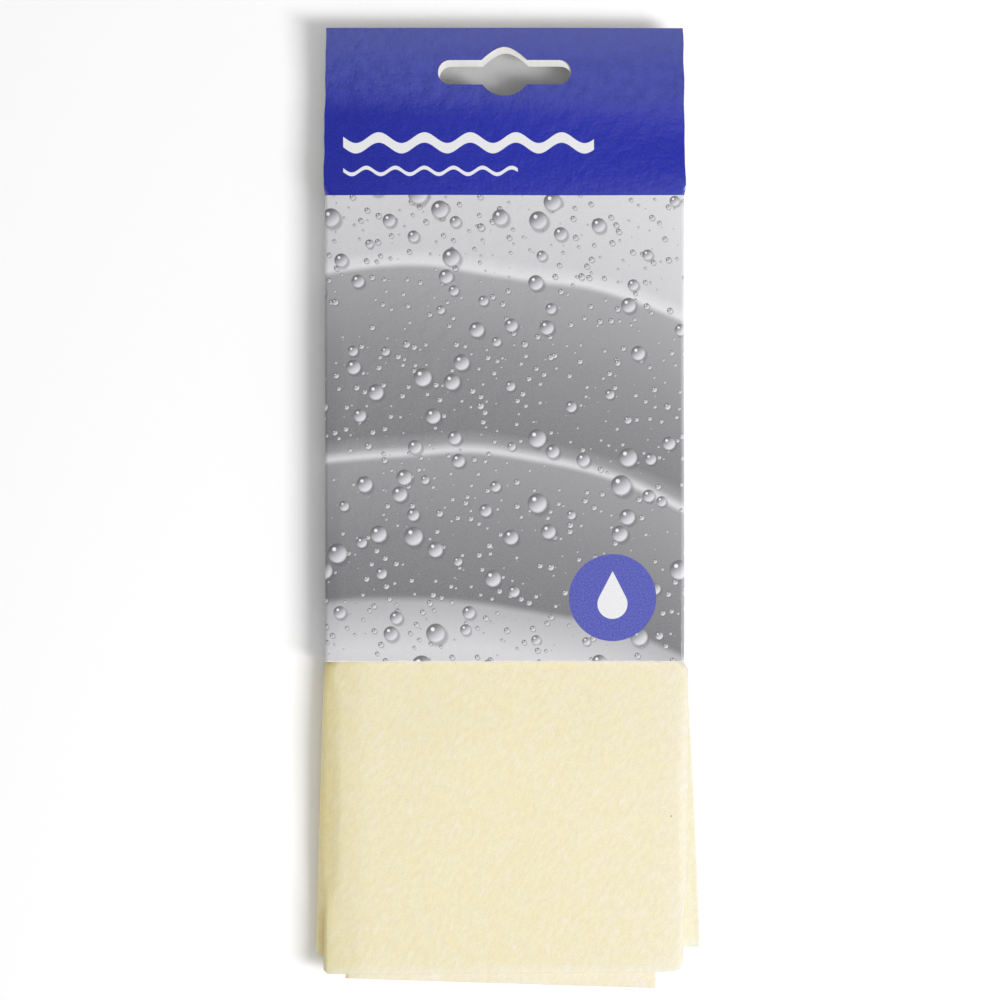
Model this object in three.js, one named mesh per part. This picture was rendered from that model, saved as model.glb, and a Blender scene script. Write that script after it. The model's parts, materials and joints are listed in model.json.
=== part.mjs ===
// Synthetic chamois cloth, folded flat and tucked into a card sleeve with a hang tab.
// Millimetres. The pack lies on its back: +X runs across the card, +Y towards the hang tab
// and +Z out of the card's front. The origin is under the middle of the pack.
import * as THREE from 'three';

// Card sleeve
const CARD_WIDTH = 86.5;
const CARD_LENGTH = 152.5;
const CARD_THICKNESS = 0.4;
const HEADER_LENGTH = 40.2;
const TAB_DROP = 0.9;
const BACK_TAB_SHORT = 1.5;
const SHOULDER_STEPS = 8;
const FLAP_WIDTH = 12;
const FLAP_END_CUT = 3;
const GLUE_THICKNESS = 0.1;
const GLUE_MARGIN = 2;

// Hang slot, in the tab's two layers of card
const SLOT_WIDTH = 32;
const SLOT_WING_HEIGHT = 5.8;
const SLOT_CROWN_RISE = 3.1;
const SLOT_CROWN_BASE = 11;
const SLOT_CROWN_TOP = 4.4;
const SLOT_BELLY_DROP = 2.7;
const SLOT_BELLY_WIDTH = 10.6;
const SLOT_TOP_MARGIN = 4.6;
const SLOT_FOOT_MARGIN = 2.4;
const SLOT_ARC_STEPS = 6;

// Cloth: doubled along its length, then rolled flat into four leaves
const CLOTH_THICKNESS = 0.8;
const LAYER_GAP = 0.1;
const LEAF_GAP = 0.15;
const CLOTH_CLEARANCE = 0.3;
const INNER_FOLD_INSET = 4.2;
const INNER_EDGE_INSET = 6.1;
const FOLD_STEPS = 8;
const TOP_FOLD_STEPS = 4;

// Tail: how far each leaf runs out of the mouth, and how far its sides spread at the end
const INNER_TAIL_LEFT = 76;
const INNER_TAIL_RIGHT = 78.6;
const SECOND_TAIL = 73;
const FRONT_TAIL = 74.7;
const BACK_TAIL_LEFT = 70.6;
const BACK_TAIL_RIGHT = 68.9;
const FRONT_LEFT_SPREAD = 1.2;
const BACK_LEFT_SPREAD = 3.8;
const FRONT_RIGHT_SPREAD = 1.2;
const BACK_RIGHT_SPREAD = 4.2;
const TAIL_END_HEIGHT = 0.3;
const TAIL_SWELL = 0.18;
const TAIL_SWELL_LENGTH = 25;
const TAIL_GAP = 0.3;
const TAIL_STEPS = 6;

// Heights through the pack, from the table up
const leafThickness = 2 * CLOTH_THICKNESS + LAYER_GAP;
const leafPitch = leafThickness + LEAF_GAP;
const flapBase = CARD_THICKNESS + GLUE_THICKNESS;
const clothBase = flapBase + CARD_THICKNESS + CLOTH_CLEARANCE;
const backLeaf = clothBase + leafThickness / 2;
const secondLeaf = backLeaf + leafPitch;
const innerLeaf = secondLeaf + leafPitch;
const frontLeaf = innerLeaf + leafPitch;
const clothTop = frontLeaf + leafThickness / 2;
const frontBase = clothTop + CLOTH_CLEARANCE;
const sleeveDepth = frontBase + CARD_THICKNESS;
const tabFrontBase = frontBase - TAB_DROP;
const tabBackBase = tabFrontBase - GLUE_THICKNESS - CARD_THICKNESS;

// Places along the pack, from the hang tab's edge down to the longest tail
const slotHeight = SLOT_CROWN_RISE + SLOT_WING_HEIGHT + SLOT_BELLY_DROP;
const tabLength = SLOT_TOP_MARGIN + slotHeight + BACK_TAB_SHORT + SLOT_FOOT_MARGIN;
const cardTop = (CARD_LENGTH + INNER_TAIL_RIGHT) / 2;
const tabFoot = cardTop - tabLength;
const headerFoot = cardTop - HEADER_LENGTH;
const mouth = cardTop - CARD_LENGTH;
const slotLine = cardTop - SLOT_TOP_MARGIN - SLOT_CROWN_RISE - SLOT_WING_HEIGHT / 2;

const matte = (color) => new THREE.MeshStandardMaterial({ color, roughness: 0.85, metalness: 0 });
const satin = (color) => new THREE.MeshStandardMaterial({ color, roughness: 0.35, metalness: 0 });
const headerPrint = () => satin(0x3139a0);
const picturePrint = () => satin(0xa8a8ac);
const bareBoard = () => matte(0xe4e4e2);
const glueFilm = () => satin(0xd9d6c8);
const clothFelt = () => matte(0xf2e8c5);

const part = new THREE.Group();

function addPiece(name, geometry, material) {
  const piece = new THREE.Mesh(geometry, material);
  piece.name = name;
  part.add(piece);
}

// A flat sheet between two corners
function slab(low, high) {
  const size = high.map((value, axis) => value - low[axis]);
  const middle = high.map((value, axis) => (value + low[axis]) / 2);
  return new THREE.BoxGeometry(...size).translate(...middle);
}

// A side outline in (y, z), pushed along +X from x = start
function sideExtrusion(outline, start, width) {
  const shape = new THREE.Shape(outline.map(([y, z]) => new THREE.Vector2(y, z)));
  const geometry = new THREE.ExtrudeGeometry(shape, { depth: width, bevelEnabled: false });
  const turn = new THREE.Matrix4().makeBasis(
    new THREE.Vector3(0, 1, 0),
    new THREE.Vector3(0, 0, 1),
    new THREE.Vector3(1, 0, 0),
  );
  return geometry.applyMatrix4(turn).translate(start, 0, 0);
}

// Inner face of a bowed shoulder: an easy curve from the sleeve's level to the tab's level.
// The front runs on almost straight and the back climbs to it, so the back's tab ends a little lower.
function shoulderCurve(sleeveLevel, tabLevel) {
  return Array.from({ length: SHOULDER_STEPS + 1 }, (_, step) => {
    const share = step / SHOULDER_STEPS;
    const ease = THREE.MathUtils.smoothstep(share, 0, 1);
    return [
      THREE.MathUtils.lerp(headerFoot, tabFoot, share),
      THREE.MathUtils.lerp(sleeveLevel, tabLevel, ease),
    ];
  });
}

const raised = (curve, lift) => curve.map(([y, z]) => [y, z + lift]);
const frontInside = shoulderCurve(frontBase, tabFrontBase);
const backInside = shoulderCurve(CARD_THICKNESS, tabBackBase + CARD_THICKNESS);

function shoulder(inside, lift) {
  const outline = [...inside, ...raised(inside, lift).reverse()];
  return sideExtrusion(outline, -CARD_WIDTH / 2, CARD_WIDTH);
}

// Hang slot: two round-ended wings, a crown above them and a round belly below
function hangSlot(line) {
  const wing = SLOT_WING_HEIGHT / 2;
  const wingCentre = SLOT_WIDTH / 2 - wing;
  const bellyHalf = SLOT_BELLY_WIDTH / 2;
  const bellyRadius = (bellyHalf ** 2 + SLOT_BELLY_DROP ** 2) / (2 * SLOT_BELLY_DROP);
  const bellyCentre = line - wing - SLOT_BELLY_DROP + bellyRadius;
  const bellyAngle = Math.asin(bellyHalf / bellyRadius);
  const crown = line + wing + SLOT_CROWN_RISE;
  const slot = new THREE.Path();
  slot.moveTo(-wingCentre, line - wing);
  slot.lineTo(-bellyHalf, line - wing);
  slot.absarc(0, bellyCentre, bellyRadius, -Math.PI / 2 - bellyAngle, -Math.PI / 2 + bellyAngle, false);
  slot.lineTo(wingCentre, line - wing);
  slot.absarc(wingCentre, line, wing, -Math.PI / 2, Math.PI / 2, false);
  slot.lineTo(SLOT_CROWN_BASE / 2, line + wing);
  slot.quadraticCurveTo(SLOT_CROWN_TOP / 2, crown, 0, crown);
  slot.quadraticCurveTo(-SLOT_CROWN_TOP / 2, crown, -SLOT_CROWN_BASE / 2, line + wing);
  slot.lineTo(-wingCentre, line + wing);
  slot.absarc(-wingCentre, line, wing, Math.PI / 2, Math.PI * 1.5, false);
  return slot;
}

function hangTab(base, short) {
  const half = CARD_WIDTH / 2;
  const top = cardTop - short;
  const shape = new THREE.Shape();
  shape.moveTo(-half, tabFoot);
  shape.lineTo(half, tabFoot);
  shape.lineTo(half, top);
  shape.lineTo(-half, top);
  shape.closePath();
  shape.holes.push(hangSlot(slotLine - short));
  const settings = { depth: CARD_THICKNESS, bevelEnabled: false, curveSegments: SLOT_ARC_STEPS };
  return new THREE.ExtrudeGeometry(shape, settings).translate(0, 0, base);
}

// A closed sheet of one thickness around a grid of middle points and their normals
function sheetSolid(rows, thickness) {
  const columns = rows[0].length;
  const points = [];
  for (const side of [0.5, -0.5]) {
    for (const { point, normal } of rows.flat()) {
      points.push(point.clone().addScaledVector(normal, side * thickness));
    }
  }
  const index = [];
  const quad = (a, b, c, d) => index.push(a, b, c, a, c, d);
  const under = rows.length * columns;
  const at = (row, column) => row * columns + column;
  for (let row = 0; row + 1 < rows.length; row += 1) {
    for (let column = 0; column + 1 < columns; column += 1) {
      const corners = [at(row, column), at(row + 1, column), at(row + 1, column + 1), at(row, column + 1)];
      quad(...corners);
      quad(...corners.map((corner) => corner + under).reverse());
    }
    const first = [at(row, 0), at(row + 1, 0)];
    const last = [at(row + 1, columns - 1), at(row, columns - 1)];
    for (const [a, b] of [first, last]) quad(a, a + under, b + under, b);
  }
  for (let column = 0; column + 1 < columns; column += 1) {
    const start = [at(0, column + 1), at(0, column)];
    const end = [at(rows.length - 1, column), at(rows.length - 1, column + 1)];
    for (const [a, b] of [start, end]) quad(a, a + under, b + under, b);
  }
  const geometry = new THREE.BufferGeometry().setFromPoints(points);
  return geometry.setIndex(index);
}

// The folded cloth's section, seen along its length: leaves between three folds that all turn one way
const clothRight = CARD_WIDTH / 2 - CARD_THICKNESS - CLOTH_CLEARANCE;
const clothLeft = -clothRight;
const UP = Math.PI / 2;

function fold(side, edge, fromHeight, toHeight, from, to) {
  const radius = Math.abs(fromHeight - toHeight) / 2;
  const centre = edge - side * (radius + leafThickness / 2);
  const middle = (fromHeight + toHeight) / 2;
  return Array.from({ length: FOLD_STEPS + 1 }, (_, step) => {
    const share = step / FOLD_STEPS;
    const angle = -side * UP + share * Math.PI;
    return {
      x: centre + radius * Math.cos(angle),
      z: middle + radius * Math.sin(angle),
      angle,
      tail: THREE.MathUtils.lerp(from.tail, to.tail, share),
      spread: side * THREE.MathUtils.lerp(from.spread, to.spread, share),
    };
  });
}

const innerAtFold = { tail: INNER_TAIL_LEFT, spread: 0 };
const secondAtInnerFold = { tail: SECOND_TAIL, spread: 0 };
const secondAtOuterFold = { tail: SECOND_TAIL, spread: FRONT_RIGHT_SPREAD };
const frontAtRight = { tail: FRONT_TAIL, spread: FRONT_RIGHT_SPREAD };
const frontAtLeft = { tail: FRONT_TAIL, spread: FRONT_LEFT_SPREAD };
const backAtFold = { tail: BACK_TAIL_LEFT, spread: BACK_LEFT_SPREAD };
const section = [
  { x: clothRight - INNER_EDGE_INSET, z: innerLeaf, angle: UP, tail: INNER_TAIL_RIGHT, spread: 0 },
  ...fold(-1, clothLeft + INNER_FOLD_INSET, innerLeaf, secondLeaf, innerAtFold, secondAtInnerFold),
  ...fold(1, clothRight, secondLeaf, frontLeaf, secondAtOuterFold, frontAtRight),
  ...fold(-1, clothLeft, frontLeaf, backLeaf, frontAtLeft, backAtFold),
  { x: clothRight, z: backLeaf, angle: -UP, tail: BACK_TAIL_RIGHT, spread: BACK_RIGHT_SPREAD },
];
const layerOffset = (CLOTH_THICKNESS + LAYER_GAP) / 2;
const tailSink = clothBase - TAIL_END_HEIGHT;

function outward(station) {
  return new THREE.Vector3(Math.cos(station.angle), 0, Math.sin(station.angle));
}

// Cloth inside the sleeve: up the outer layer, over the lengthwise fold and down the inner layer
function tuckedCloth() {
  const foldLine = headerFoot - CLOTH_CLEARANCE - layerOffset - CLOTH_THICKNESS / 2;
  const turns = Array.from({ length: TOP_FOLD_STEPS + 1 }, (_, step) => (step / TOP_FOLD_STEPS) * Math.PI);
  const rowAt = (y, turn) => section.map((station) => {
    const normal = outward(station).multiplyScalar(Math.cos(turn)).setY(Math.sin(turn));
    const point = new THREE.Vector3(station.x, y, station.z).addScaledVector(normal, layerOffset);
    return { point, normal };
  });
  const rows = [rowAt(mouth, 0), ...turns.map((turn) => rowAt(foldLine, turn)), rowAt(mouth, Math.PI)];
  return sheetSolid(rows, CLOTH_THICKNESS);
}

// Cloth outside the sleeve: one layer, which swells and spreads as it leaves the mouth and sinks to the table
function tailLayer(offset) {
  const rows = Array.from({ length: TAIL_STEPS + 1 }, (_, step) => {
    const share = 1 - step / TAIL_STEPS;
    return section.map((station) => {
      const normal = outward(station);
      const swell = 1 + TAIL_SWELL * THREE.MathUtils.smoothstep(share * station.tail, 0, TAIL_SWELL_LENGTH);
      const point = new THREE.Vector3(
        station.x + station.spread * Math.sqrt(share),
        mouth - THREE.MathUtils.lerp(TAIL_GAP, station.tail, share),
        clothBase + (station.z - clothBase) * swell - tailSink * THREE.MathUtils.smoothstep(share, 0, 1),
      );
      return { point: point.addScaledVector(normal, offset), normal };
    });
  });
  return sheetSolid(rows, CLOTH_THICKNESS);
}

// Card sleeve: one die-cut blank, folded and glued, piece by piece between its creases
const left = -CARD_WIDTH / 2;
const right = CARD_WIDTH / 2;
const inside = left + CARD_THICKNESS;
addPiece('front_panel', slab([left, mouth, frontBase], [right, headerFoot, sleeveDepth]), picturePrint());
addPiece('back_panel', slab([left, mouth, 0], [right, headerFoot, CARD_THICKNESS]), bareBoard());
const leftSpine = slab([left, mouth, CARD_THICKNESS], [inside, headerFoot, frontBase]);
const rightSpine = slab([-inside, mouth, CARD_THICKNESS], [right, headerFoot, frontBase]);
addPiece('left_spine', leftSpine, picturePrint());
addPiece('right_spine', rightSpine, picturePrint());
addPiece('front_shoulder', shoulder(frontInside, CARD_THICKNESS), headerPrint());
addPiece('back_shoulder', shoulder(raised(backInside, -CARD_THICKNESS), CARD_THICKNESS), headerPrint());
addPiece('front_tab', hangTab(tabFrontBase, 0), headerPrint());
addPiece('back_tab', hangTab(tabBackBase, BACK_TAB_SHORT), headerPrint());

const flapLow = mouth + FLAP_END_CUT;
const flapHigh = headerFoot - FLAP_END_CUT;
addPiece(
  'glue_flap',
  slab([inside, flapLow, flapBase], [inside + FLAP_WIDTH, flapHigh, flapBase + CARD_THICKNESS]),
  bareBoard(),
);

// Glue: a line under the flap, and a patch on each side of the hang slot
addPiece(
  'flap_glue',
  slab(
    [inside + GLUE_MARGIN, flapLow + GLUE_MARGIN, CARD_THICKNESS],
    [inside + FLAP_WIDTH - GLUE_MARGIN, flapHigh - GLUE_MARGIN, flapBase],
  ),
  glueFilm(),
);
const patchInner = SLOT_WIDTH / 2 + GLUE_MARGIN;
const patchOuter = right - GLUE_MARGIN;
const patchLow = tabFoot + GLUE_MARGIN;
const patchHigh = cardTop - BACK_TAB_SHORT - GLUE_MARGIN;
const patchBase = tabBackBase + CARD_THICKNESS;
const leftPatch = slab([-patchOuter, patchLow, patchBase], [-patchInner, patchHigh, tabFrontBase]);
const rightPatch = slab([patchInner, patchLow, patchBase], [patchOuter, patchHigh, tabFrontBase]);
addPiece('left_tab_glue', leftPatch, glueFilm());
addPiece('right_tab_glue', rightPatch, glueFilm());

// Cloth: one sheet, parted at the mouth where it bends
addPiece('tucked_cloth', tuckedCloth(), clothFelt());
addPiece('outer_tail', tailLayer(layerOffset), clothFelt());
addPiece('inner_tail', tailLayer(-layerOffset), clothFelt());

export default part;
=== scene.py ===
# %% [markdown]
# # A chamois cloth in its card sleeve
# A shop pack lies on its back and is seen from straight above: a pale yellow felt cloth, folded flat, in a
# printed card sleeve with a hang tab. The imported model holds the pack's sizes, joints and solids. This
# script dresses it: the card becomes one creased sheet of printed board, and the cloth one folded sheet of
# felt.

# %% Load the frame
import json
import math

import bmesh
import bpy
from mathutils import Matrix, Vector, noise


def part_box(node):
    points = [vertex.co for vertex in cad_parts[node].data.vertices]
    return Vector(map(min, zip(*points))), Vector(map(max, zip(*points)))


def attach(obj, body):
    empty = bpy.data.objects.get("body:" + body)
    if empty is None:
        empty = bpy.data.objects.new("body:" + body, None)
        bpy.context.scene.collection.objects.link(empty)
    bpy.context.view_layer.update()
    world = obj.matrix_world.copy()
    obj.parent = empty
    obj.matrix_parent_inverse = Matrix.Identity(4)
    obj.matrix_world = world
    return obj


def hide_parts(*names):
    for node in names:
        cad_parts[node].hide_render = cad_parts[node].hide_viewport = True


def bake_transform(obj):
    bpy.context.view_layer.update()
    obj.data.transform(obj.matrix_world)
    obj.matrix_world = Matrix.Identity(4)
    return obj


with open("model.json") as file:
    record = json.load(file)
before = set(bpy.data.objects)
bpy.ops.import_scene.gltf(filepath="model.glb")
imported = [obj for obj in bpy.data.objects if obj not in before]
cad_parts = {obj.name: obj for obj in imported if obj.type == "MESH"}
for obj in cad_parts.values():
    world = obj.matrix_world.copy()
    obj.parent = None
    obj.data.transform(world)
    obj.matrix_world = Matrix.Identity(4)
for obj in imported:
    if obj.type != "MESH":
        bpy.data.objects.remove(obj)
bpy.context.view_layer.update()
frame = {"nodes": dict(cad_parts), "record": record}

# %% [markdown]
# ## Sizes from the frame
# Every size that the card and the cloth share with the solids is read from the solids' own boxes, so a
# piece made here sits where the model says and nothing has to be fitted afterwards.

# %% Read the sizes of the card and the cloth
MM = 0.001
panel_low, panel_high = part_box("front_panel")
tab_low, tab_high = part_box("front_tab")
flap_low, flap_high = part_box("glue_flap")
cloth_low, cloth_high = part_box("tucked_cloth")

HALF_CARD = panel_high.x
MOUTH = panel_low.y
HEADER_FOOT = panel_high.y
TAB_FOOT = tab_low.y
CARD_TOP = tab_high.y
PACK_DEPTH = panel_high.z
BOARD = panel_high.z - panel_low.z
TAB_FRONT = tab_high.z
TAB_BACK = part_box("back_tab")[0].z
BACK_SHORT = tab_high.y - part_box("back_tab")[1].y
FLAP_FACE = flap_low.z
print(f"card {2 * HALF_CARD / MM:.1f} by {(CARD_TOP - MOUTH) / MM:.1f} mm, {PACK_DEPTH / MM:.2f} mm deep")


def lerp(start, end, share):
    return start + (end - start) * share


def ease(value, low, high):
    """0 below low, 1 above high, and a smooth step between them."""
    share = min(max((value - low) / (high - low), 0), 1)
    return share * share * (3 - 2 * share)


# %% [markdown]
# ## Camera
# The photograph looks straight down, so the camera hangs over the pack and needs no turn. A long lens from
# a metre away keeps the sides of the pack nearly parallel. The lens follows from the scale: one pixel of
# the picture is 0.24 mm on the card's front.

# %% Hang the camera over the pack
PIXEL = 0.2406 * MM
IMAGE_SIDE = 1000
CAMERA_HEIGHT = 1.0
CARD_MIDDLE_PX = 504.5
CARD_TOP_PX = 28

camera_data = bpy.data.cameras.new("camera")
camera_data.lens = camera_data.sensor_width * CAMERA_HEIGHT / (PIXEL * IMAGE_SIDE)
camera = bpy.data.objects.new("camera", camera_data)
camera.location = (
    (IMAGE_SIDE / 2 - CARD_MIDDLE_PX) * PIXEL,
    CARD_TOP - (IMAGE_SIDE / 2 - CARD_TOP_PX) * PIXEL,
    PACK_DEPTH + CAMERA_HEIGHT,
)
bpy.context.scene.collection.objects.link(camera)
bpy.context.scene.camera = camera
print(f"lens {camera_data.lens:.0f} mm, {CAMERA_HEIGHT} m above the card")

# %% [markdown]
# ## Node helpers
# Each finish below is a small network of shader nodes. These few helpers make a node, link its inputs and
# hand back a socket, so that a finish reads like a sum and not like a wiring list.

# %% Helpers for materials
MATERIAL_OF = {}
MIX_SHARE, MIX_FIRST, MIX_SECOND = 0, 6, 7
MIX_RESULT = 2


def start_material(name):
    made = bpy.data.materials.new(name)
    made.use_nodes = True
    MATERIAL_OF[name] = made
    return made.node_tree, made.node_tree.nodes["Principled BSDF"]


def node(tree, kind, inputs=None, **settings):
    made = tree.nodes.new(kind)
    for key, value in settings.items():
        setattr(made, key, value)
    connect(tree, made, inputs or {})
    return made


def connect(tree, target, inputs):
    """Fills a node's inputs: a socket is linked, and anything else is set as the value."""
    for key, value in inputs.items():
        if isinstance(value, bpy.types.NodeSocket):
            tree.links.new(value, target.inputs[key])
        else:
            target.inputs[key].default_value = value


def calc(tree, operation, *values):
    made = node(tree, "ShaderNodeMath", dict(enumerate(values)), operation=operation)
    return made.outputs[0]


def fade(tree, value, low, high, start=0.0, end=1.0):
    """start where value is under low, end where it is over high, and a smooth step between them."""
    inputs = {"Value": value, "From Min": low, "From Max": high, "To Min": start, "To Max": end}
    made = node(tree, "ShaderNodeMapRange", inputs, interpolation_type="SMOOTHSTEP")
    return made.outputs["Result"]


def mix(tree, share, first, second, blend="MIX"):
    """The first colour where share is 0, and the second where it is 1."""
    inputs = {MIX_SHARE: share, MIX_FIRST: first, MIX_SECOND: second}
    made = node(tree, "ShaderNodeMix", inputs, data_type="RGBA", blend_type=blend)
    return made.outputs[MIX_RESULT]


def mottle(tree, place, scale, detail=2.0, stretch=(1, 1, 1)):
    moved = node(tree, "ShaderNodeMapping", {"Vector": place, "Scale": stretch})
    inputs = {"Vector": moved.outputs[0], "Scale": scale, "Detail": detail}
    return node(tree, "ShaderNodeTexNoise", inputs).outputs["Fac"]


def bump(tree, height, strength, distance):
    inputs = {"Height": height, "Strength": strength, "Distance": distance}
    return node(tree, "ShaderNodeBump", inputs).outputs[0]


def ink(red, green, blue):
    """A colour written as screen values from 0 to 255, turned to linear light as the shader wants it."""
    def linear(value):
        share = value / 255
        return share / 12.92 if share <= 0.04045 else ((share + 0.055) / 1.055) ** 2.4

    return (linear(red), linear(green), linear(blue), 1.0)


print("helpers ready")

# %% [markdown]
# ## Table
# The pack lies on white paper. The camera sees the paper a touch overexposed, which makes the background
# white and keeps the shadow, while the light that the paper throws back at the pack stays that of plain
# white paper. Under the pack a painted shadow gives the paper a darker grey, which shows through the hang
# slot.

# %% White paper table
TABLE_SIZE = 4.0
TABLE_WHITE = 0.85
TABLE_SHOWN = 1.08
TABLE_SHADOW_GREY = 0.54
COVER_EDGE = (1 * MM, 4 * MM)


def shown_share(tree):
    """1 for rays that end in the picture, straight or by a mirror or a pane, and 0 for the others."""
    seen = node(tree, "ShaderNodeLightPath").outputs
    shown = calc(tree, "MAXIMUM", seen["Is Camera Ray"], seen["Is Glossy Ray"])
    return calc(tree, "MAXIMUM", shown, seen["Is Transmission Ray"])


table_mesh = bpy.data.meshes.new("table")
table_form = bmesh.new()
bmesh.ops.create_grid(table_form, x_segments=1, y_segments=1, size=TABLE_SIZE / 2)
table_form.to_mesh(table_mesh)
table_form.free()
table = bpy.data.objects.new("table", table_mesh)
bpy.context.scene.collection.objects.link(table)

tree, shader = start_material("table_white")
tree.nodes.remove(shader)
spot = node(tree, "ShaderNodeSeparateXYZ", {0: node(tree, "ShaderNodeTexCoord").outputs["Object"]})
inside_x = calc(tree, "SUBTRACT", HALF_CARD, calc(tree, "ABSOLUTE", spot.outputs[0]))
below_top = calc(tree, "SUBTRACT", CARD_TOP, spot.outputs[1])
inside_y = calc(tree, "MINIMUM", below_top, calc(tree, "SUBTRACT", spot.outputs[1], MOUTH))
cover = calc(tree, "MINIMUM", inside_x, inside_y)
# painted shadow: the paper turns darker grey inside the pack's outline, under the pack
paper = fade(tree, cover, *COVER_EDGE, TABLE_SHOWN, TABLE_SHADOW_GREY)
white = fade(tree, shown_share(tree), 0, 1, TABLE_WHITE, paper)
sheet = node(tree, "ShaderNodeBsdfDiffuse", {"Color": white})
tree.links.new(sheet.outputs[0], tree.nodes["Material Output"].inputs["Surface"])
table_mesh.materials.append(MATERIAL_OF["table_white"])
print(f"table {TABLE_SIZE} m wide")

# %% [markdown]
# ## Room and lamps
# An upright softbox stands to the right, a little below the pack and half-way up the sky. It gives the soft
# shadow along the left and the narrower one along the top. A dim panel hangs above, off to the right: level
# satin card mirrors it and looks a little paler than the slopes do. The walls of the room fill the rest,
# brightest near the table. Together they light a level white sheet to about 1, so a colour renders about as
# it is written.

# %% Room and lamps
KEY_SLOPE = (0.72, -0.3)
KEY_DISTANCE = 1.3
KEY_SIDES = (0.34, 0.62)
KEY_POWER = 11.1
PANEL_PLACE = (0.25, -0.14, 1.5)
PANEL_SIDES = (0.8, 0.8)
PANEL_POWER = 2.5
WALL_LIGHT = 1.0
CEILING_LIGHT = 0.36
CEILING_FADE = (0.05, 0.3)


def lamp(name, sides, power, place):
    """A flat area lamp that looks at the middle of the pack. The first of its sides is the level one."""
    data = bpy.data.lights.new(name, "AREA")
    data.shape = "RECTANGLE"
    data.size, data.size_y = sides
    data.energy = power
    made = bpy.data.objects.new(name, data)
    made.location = place
    made.rotation_euler = Vector(place).to_track_quat("Z", "Y").to_euler()
    made.visible_camera = False
    bpy.context.scene.collection.objects.link(made)


world = bpy.data.worlds.new("room")
world.use_nodes = True
bpy.context.scene.world = world
room = world.node_tree
direction = node(room, "ShaderNodeTexCoord").outputs["Object"]
height = node(room, "ShaderNodeSeparateXYZ", {0: direction}).outputs[2]
connect(room, room.nodes["Background"], {
    "Color": (1, 1, 1, 1),
    "Strength": fade(room, height, *CEILING_FADE, WALL_LIGHT, CEILING_LIGHT),
})
key_way = Vector((*KEY_SLOPE, 1)).normalized()
lamp("key_softbox", KEY_SIDES, KEY_POWER, key_way * KEY_DISTANCE)
lamp("overhead_panel", PANEL_SIDES, PANEL_POWER, PANEL_PLACE)
bpy.context.scene.view_settings.view_transform = "Standard"
print(f"key softbox {math.degrees(math.asin(key_way.z)):.0f} degrees up, panel at {PANEL_PLACE[2]} m")

# %% [markdown]
# ## Print and its coating
# All the print is drawn in the flat blank's own millimetres, kept on the mesh as an attribute, so that it
# turns the creases with the card. A satin coating lies over every ink. It has a fine orange peel, and the
# grain of the paper shows through a little.

# %% Helpers for print
PRINT_EDGE = 0.08
WHITE_INK = ink(238, 238, 240)
WIDE_SPAN = (0.2, 0.8)
MIDDLE_SPAN = (0.3, 0.7)
GRAIN_SPAN = (0.25, 0.75)
COARSE_PEEL = 4.0
COAT_ROUGHNESS = (0.13, 0.22)
COAT_IOR = 1.47


def blank_place(tree):
    """The flat blank's position in millimetres: the whole vector, then across and along."""
    place = node(tree, "ShaderNodeAttribute", attribute_name="blank").outputs["Vector"]
    parts = node(tree, "ShaderNodeSeparateXYZ", {0: place})
    return place, parts.outputs[0], parts.outputs[1]


def inked(tree, value, edge):
    """1 where value is under the edge of a printed shape and 0 past it, with the slight blur of print."""
    return fade(tree, value, edge - PRINT_EDGE, edge + PRINT_EDGE, 1, 0)


def coat(tree, shader, place):
    """The satin coating on printed board: a fine orange peel and a gloss that varies a little."""
    fine_peel = mottle(tree, place, scale=1.2, detail=2)
    peel = calc(tree, "MULTIPLY_ADD", mottle(tree, place, scale=0.3, detail=2), COARSE_PEEL, fine_peel)
    gloss = mottle(tree, place, scale=0.6, detail=3)
    connect(tree, shader, {
        "Roughness": fade(tree, gloss, *WIDE_SPAN, *COAT_ROUGHNESS),
        "Normal": bump(tree, peel, strength=0.3, distance=0.05 * MM),
        "IOR": COAT_IOR,
    })


def grain(tree, place, colour, paper, strength):
    """The paper's own grain, which shows through the ink."""
    speck = fade(tree, mottle(tree, place, scale=2.4, detail=3), *GRAIN_SPAN)
    return mix(tree, calc(tree, "MULTIPLY", speck, strength), colour, paper)


print(f"print edges {2 * PRINT_EDGE} mm soft, coating roughness {COAT_ROUGHNESS}")

# %% [markdown]
# ## Printing the header
# The header is one solid blue ink on coated board. The ink lies unevenly, and painted shade makes it deeper
# on the left and duller on the tab. A painted sheen makes the top of the tab paler, and the lower corners
# are rubbed pale. Two plain white waves stand for the words. A picture of all this could be painted and
# laid on, but nodes stay sharp at any distance.

# %% Blue header ink
BLUES = ink(14, 29, 152), ink(26, 39, 176)
LEFT_SHADE_BLUE = ink(6, 22, 132)
LEFT_SHADE_SHARE = 0.5
LEFT_SHADE_END = 5
TAB_SHADE_BLUES = ink(20, 34, 140), ink(42, 54, 158)
TAB_SHADE_FADE = (TAB_FOOT / MM - 2, TAB_FOOT / MM + 6)
TAB_TOP_SHEEN_BLUE = ink(64, 72, 142)
TAB_TOP_SHEEN_SHARE = 0.8
TAB_TOP_SHEEN_FADE = (TAB_FOOT / MM + 8, CARD_TOP / MM)
BLUE_PAPER = ink(66, 75, 190)
BLUE_GRAIN = (0.22, 0.4)
RUBBED_BLUE = ink(150, 156, 206)
RUBBED_SHARE = 0.3
RUBBED_FADE = (3.2, 6.0)
RUBBED_RAGGED = 6.0
RUBBED_NARROW = 2.0
WAVE_LEFT = -38.8
WAVES = (
    {"height": 88.0, "end": 21.5, "swing": 1.3, "period": 11.0, "stroke": 2.5},
    {"height": 81.2, "end": 3.2, "swing": 0.8, "period": 7.0, "stroke": 0.9},
)


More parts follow.
